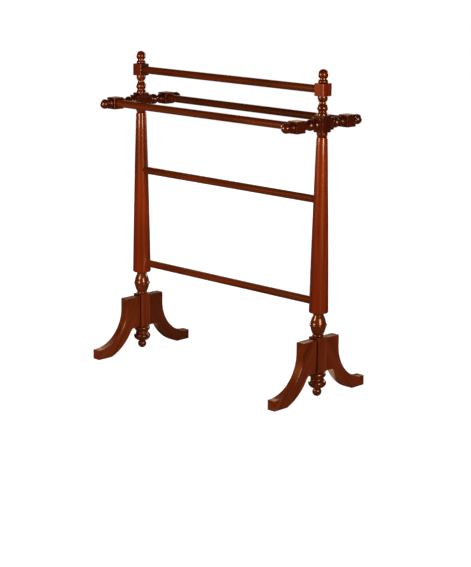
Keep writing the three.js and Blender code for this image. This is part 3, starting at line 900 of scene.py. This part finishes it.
class RACK_OT_cross_arms(bpy.types.Operator):
    """Turn the cross arms with their end blocks and finials"""

    bl_idname = "rack.cross_arms"
    bl_label = "Cross Arms"

    def execute(self, context):
        sizes, finish = context.scene.rack_sizes, context.scene.rack_finish
        half = BLOCK_WIDTH / 2 / MM
        edge = sizes.edge / MM
        reach = box_middle("back_rail").y / MM
        for side in SIDES:
            node = f"{side}_cross_arm"
            out = Turning(0)
            out.rings = []
            add_vase(out, ARM_CENTRE_HALF, reach - END_BLOCK_HALF - ARM_CENTRE_HALF)
            out.block(half, reach - END_BLOCK_HALF, reach + END_BLOCK_HALF, edge)
            add_finial(out, reach + END_BLOCK_HALF)
            arm = Turning(0)
            arm.rings = [(radius, -height, corner) for radius, height, corner in reversed(out.rings)]
            arm.block(half, -ARM_CENTRE_HALF, ARM_CENTRE_HALF, edge)
            arm.rings += out.rings
            piece = new_piece(f"{side}_cross_arm_turned", arm.mesh(node, sizes.round_sides))
            # The arm is turned along Z and lies along Y: its +X stays, and its +Z goes to -Y.
            gap = sizes.joint_line / 2
            lap = half * MM + gap
            notch = box_cutter((-CUT_PAST, -CUT_PAST, -lap), (gap, CUT_PAST, lap))
            faces = [(half * MM, 0, sign * reach * MM) for sign in (-1, 1)]
            carve(piece, [notch, *in_rail_sockets(sizes, faces)])
            lie = Matrix.Translation((0, 0, ARM_HEIGHT)) @ Matrix.Rotation(math.pi / 2, 4, "X")
            place = stand_matrix(side) @ lie
            finish_piece(piece, place, node, material("red", finish), lambda point: ARM_TONE)
        return {"FINISHED"}


class RACK_OT_rails(bpy.types.Operator):
    """Make the round rails"""

    bl_idname = "rack.rails"
    bl_label = "Rails"

    def execute(self, context):
        finish = context.scene.rack_finish
        for node in RAILS:
            low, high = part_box(node)
            radius, length = (high.y - low.y) / 2, high.x - low.x
            piece = new_piece(f"{node}_rod", rod_mesh(node, radius, length, 96, 1.2 * MM, -length / 2))
            place = Matrix.Translation(box_middle(node)) @ Matrix.Rotation(math.pi / 2, 4, "Y")
            # Tone from end to end; the top rail's darker left end is painted shade.
            left, right = RAIL_TONES_AND_SHADE.get(node, OTHER_RAIL_TONES)
            finish_piece(
                piece, place, node, material("brown", finish),
                lambda point: left + (right - left) * (point.z / length + 0.5))
        return {"FINISHED"}


def leg_outline():
    """The leg's outline as reach from the post's axis against height, in millimetres."""
    low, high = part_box("left_back_leg")
    toe_reach, top = high.y / MM, high.z / MM
    joint = low.y / MM
    outer = toe_reach - LEG_TOE_FLAT - LEG_TOP_REACH
    inner = outer + LEG_SWEEP_WIDTH
    centre = (LEG_TOP_REACH + outer, LEG_TOE_HEIGHT + outer)
    start = math.asin((centre[1] - LEG_BOTTOM + LEG_DROP) / inner) - math.pi
    end = -math.pi / 2 - math.acos(centre[1] / inner)
    shoulder = (centre[0] + inner * math.cos(start), LEG_BOTTOM - LEG_DROP)
    corner = (shoulder[0] - LEG_DROP * math.tan(math.pi + start), LEG_BOTTOM)
    points = [(joint, LEG_BOTTOM), (LEG_FLAT_REACH, LEG_BOTTOM)]
    for i in range(1, 8):
        t = i / 8
        a, b, c = (1 - t) ** 2, 2 * t * (1 - t), t * t
        reach = a * LEG_FLAT_REACH + b * corner[0] + c * shoulder[0]
        points.append((reach, a * LEG_BOTTOM + b * corner[1] + c * shoulder[1]))
    for i in range(33):
        angle = start + (end - start) * i / 32
        points.append((centre[0] + inner * math.cos(angle), centre[1] + inner * math.sin(angle)))
    points[-1] = (points[-1][0], 0.0)
    points += [(toe_reach, 0.0), (toe_reach, LEG_TOE_HEIGHT)]
    for i in range(41):
        angle = -math.pi / 2 - math.pi / 2 * i / 40
        points.append((centre[0] + outer * math.cos(angle), centre[1] + outer * math.sin(angle)))
    points += [(LEG_TOP_REACH, top), (joint, top)]
    return points


class RACK_OT_legs(bpy.types.Operator):
    """Saw the sabre legs and ease their edges"""

    bl_idname = "rack.legs"
    bl_label = "Legs"

    def execute(self, context):
        sizes, finish = context.scene.rack_sizes, context.scene.rack_finish
        outline = leg_outline()
        for side in SIDES:
            for place in PLACES:
                node = f"{side}_{place}_leg"
                piece = new_piece(f"{node}_sawn", self.board(node, outline, 1.6 * sizes.edge))
                holes = []
                for level in ("lower", "upper"):
                    low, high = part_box(f"{node}_{level}_dowel")
                    far = max(abs(low.y), abs(high.y)) + DOWEL_END_ROOM
                    start = (0, sizes.hub_width / 2 - 0.002, (low.z + high.z) / 2)
                    holes.append(rod_cutter(DOWEL_HOLE_RADIUS, start, (0, 1, 0), far - start[1]))
                carve(piece, holes)
                turn = Matrix.Rotation(math.pi if place == "front" else 0, 4, "Z")
                where = Matrix.Translation((box_middle(node).x, 0, 0)) @ turn
                # Painted shadow on the left back leg.
                tone = SHADOWED_LEG_TONE if node == SHADOWED_LEG else 1.0
                finish_piece(piece, where, node, material("sawn", finish), lambda point: tone)
        return {"FINISHED"}

    def board(self, name, outline, edge):
        """The outline as a flat board with eased edges."""
        made = bmesh.new()
        near = [made.verts.new((-LEG_THICKNESS / 2, y * MM, z * MM)) for y, z in outline]
        face = made.faces.new(near)
        grown = bmesh.ops.extrude_face_region(made, geom=[face])["geom"]
        moved = [item for item in grown if isinstance(item, bmesh.types.BMVert)]
        bmesh.ops.translate(made, verts=moved, vec=(LEG_THICKNESS, 0, 0))
        bmesh.ops.recalc_face_normals(made, faces=made.faces)
        sharp = [e for e in made.edges if e.calc_face_angle(0) > math.radians(25)]
        bmesh.ops.bevel(made, geom=sharp, offset=edge, segments=3, profile=0.5, affect="EDGES")
        wide = [f for f in made.faces if abs(f.normal.x) > 0.999 and f.calc_area() > 1e-3]
        bmesh.ops.inset_region(made, faces=wide, thickness=0.0015)
        mesh = bpy.data.meshes.new(name)
        made.to_mesh(mesh)
        made.free()
        return mesh


class RACK_OT_dowels(bpy.types.Operator):
    """Finish the dowels that hold the legs"""

    bl_idname = "rack.dowels"
    bl_label = "Leg Dowels"

    def execute(self, context):
        beech = material("beech", context.scene.rack_finish)
        for name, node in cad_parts.items():
            if name.endswith("_dowel"):
                node.data.materials.clear()
                node.data.materials.append(beech)
        return {"FINISHED"}


class RACK_OT_stage(bpy.types.Operator):
    """Set the floor, the lamps and the camera"""

    bl_idname = "rack.stage"
    bl_label = "Stage"

    def execute(self, context):
        stage = context.scene.rack_stage
        self.floor(stage)
        self.backdrop()
        self.world(context.scene)
        middle = Vector((0, 0, 0.55))
        warm = tuple(stage.lamp_colour)
        self.lamp("Front_lamp", (-0.25, -1.50, 0.90), (0.1, 0, 0.6), 0.45, 0.65, stage.front_power, warm)
        self.lamp("End_lamp", (3.1, -0.95, 0.98), middle, 1.0, 1.1, stage.end_power, warm)
        rear_power, far_power = REAR_SHARE * stage.front_power, REAR_SHARE * stage.end_power
        self.lamp("Rear_lamp", (0.25, 1.60, 0.90), (-0.1, 0, 0.6), 0.45, 0.65, rear_power, warm)
        self.lamp("Far_end_lamp", (-3.1, 0.95, 0.98), middle, 1.0, 1.1, far_power, warm)
        fill = stage.fill_power
        self.lamp("Front_fill", (0.2, -3.4, 1.3), middle, 2.2, 1.8, fill, mirrored=False)
        self.lamp("End_fill", (3.1, -1.7, 1.3), middle, 2.2, 1.8, fill, mirrored=False)
        self.lamp("Overhead_fill", (0, 0, 3.4), middle, 2.6, 2.6, OVERHEAD_SHARE * fill, mirrored=False)
        self.lamp("Back_lamp", (-2.4, 2.6, 1.4), middle, 2.4, 2.0, stage.back_power, mirrored=False)
        self.lamp("High_card", (-2.6, 2.8, 1.75), middle, 2.4, 0.9, HIGH_CARD_POWER, AMBER)
        self.lamp("Low_card", (-2.6, 2.8, 0.85), middle, 2.4, 0.9, LOW_CARD_POWER, DEEP_AMBER)
        for side, reach, power in FLOOR_GLOWS:
            glow = box_middle(f"{side}_back_leg") - Vector((reach, 0, 0))
            glow.z = FRAME_LOW.z + 0.001
            self.lamp(f"{side}_floor_glow", glow, glow + Vector((0, 0, 1)), 0.14, 0.16, power, STRAW)
        self.camera(context.scene, stage)
        context.scene.view_settings.view_transform = "Standard"
        return {"FINISHED"}

    def floor(self, stage):
        """A wide round floor."""
        made = bmesh.new()
        bmesh.ops.create_circle(made, cap_ends=True, segments=96, radius=28)
        mesh = bpy.data.meshes.new("Floor")
        made.to_mesh(mesh)
        made.free()
        floor = new_piece("Floor", mesh)
        floor.location.z = FRAME_LOW.z - 0.0003
        floor.visible_glossy = False
        tree = Tree("Pale_floor")
        place = tree.node("ShaderNodeTexCoord").out("Object")
        fleck = tree.noise(place, (60, 60, 60), 3.0)
        shade = tuple(stage.floor)
        colour = tree.mix(fleck, tuple(0.985 * c for c in shade), shade)
        mesh.materials.append(tree.finish(
            Base_Color=colour, Roughness=0.9, Specular_IOR_Level=0.1,
            Emission_Color=(1, 1, 1, 1), Emission_Strength=1.0))
        floor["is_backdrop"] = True

    def backdrop(self):
        """A pale shell far round the floor, which only the camera sees."""
        made = bmesh.new()
        bmesh.ops.create_uvsphere(made, u_segments=48, v_segments=24, radius=30)
        mesh = bpy.data.meshes.new("Backdrop")
        made.to_mesh(mesh)
        made.free()
        shell = new_piece("Backdrop", mesh)
        shell.visible_diffuse = False
        shell.visible_glossy = False
        shell.visible_transmission = False
        shell.visible_shadow = False
        tree = Tree("Pale_backdrop")
        light = tree.node("ShaderNodeEmission", None, Color=(1, 1, 1, 1), Strength=1.03)
        tree.node("ShaderNodeOutputMaterial", None, Surface=light.out())
        mesh.materials.append(tree.material)
        shell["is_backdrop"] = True

    def world(self, scene):
        """An even, dim surround."""
        world = bpy.data.worlds.new("Studio")
        world.use_nodes = True
        background = world.node_tree.nodes["Background"]
        background.inputs["Color"].default_value = (0.98, 0.99, 1, 1)
        background.inputs["Strength"].default_value = 0.01
        scene.world = world

    def lamp(self, name, place, target, width, height, power, colour=(1, 1, 1), mirrored=True):
        """A soft rectangular lamp that faces a point."""
        light = bpy.data.lights.new(name, "AREA")
        light.shape = "RECTANGLE"
        light.size = width
        light.size_y = height
        light.energy = power
        light.color = colour
        lamp = bpy.data.objects.new(name, light)
        bpy.context.scene.collection.objects.link(lamp)
        lamp.location = place
        lamp.rotation_euler = (Vector(target) - Vector(place)).to_track_quat("-Z", "Y").to_euler()
        lamp.visible_camera = False
        lamp.visible_glossy = mirrored

    def camera(self, scene, stage):
        """The camera, from its heading, pitch and roll."""
        heading, pitch, roll = stage.camera_heading, stage.camera_pitch, stage.camera_roll
        flat = Vector((-math.sin(heading), math.cos(heading), 0))
        forward = flat * math.cos(pitch) - Vector((0, 0, math.sin(pitch)))
        right = Vector((math.cos(heading), math.sin(heading), 0))
        down = forward.cross(right)
        right = right * math.cos(roll) + down * math.sin(roll)
        up = right.cross(forward)
        rows = Matrix((right, up, -forward)).transposed().to_4x4()
        data = bpy.data.cameras.new("Camera")
        data.sensor_width = 36
        data.lens = stage.camera_lens
        camera = bpy.data.objects.new("Camera", data)
        scene.collection.objects.link(camera)
        camera.matrix_world = Matrix.Translation(stage.camera_place) @ rows
        scene.camera = camera


STEPS = (
    RACK_OT_upper_posts, RACK_OT_columns, RACK_OT_hub_posts, RACK_OT_pendants, RACK_OT_cross_arms,
    RACK_OT_rails, RACK_OT_legs, RACK_OT_dowels, RACK_OT_stage,
)


class RACK_PT_panel(bpy.types.Panel):
    """The rack's sizes, finish and steps."""

    bl_idname = "RACK_PT_panel"
    bl_label = "Quilt Rack"
    bl_space_type = "VIEW_3D"
    bl_region_type = "UI"
    bl_category = "Quilt Rack"

    def draw(self, context):
        for group in (context.scene.rack_sizes, context.scene.rack_finish, context.scene.rack_stage):
            column = self.layout.column(align=True)
            for name in group.__annotations__:
                column.prop(group, name)
        for step in STEPS:
            self.layout.operator(step.bl_idname)


CLASSES = (RackSizes, RackFinish, RackStage, *STEPS, RACK_PT_panel)


def register():
    for item in CLASSES:
        bpy.utils.register_class(item)
    bpy.types.Scene.rack_sizes = PointerProperty(type=RackSizes)
    bpy.types.Scene.rack_finish = PointerProperty(type=RackFinish)
    bpy.types.Scene.rack_stage = PointerProperty(type=RackStage)


def unregister():
    del bpy.types.Scene.rack_stage
    del bpy.types.Scene.rack_finish
    del bpy.types.Scene.rack_sizes
    for item in reversed(CLASSES):
        bpy.utils.unregister_class(item)


def main():
    """Builds the rack step by step."""
    register()
    for step in STEPS:
        category, name = step.bl_idname.split(".")
        getattr(getattr(bpy.ops, category), name)()


if __name__ == "__main__":
    main()
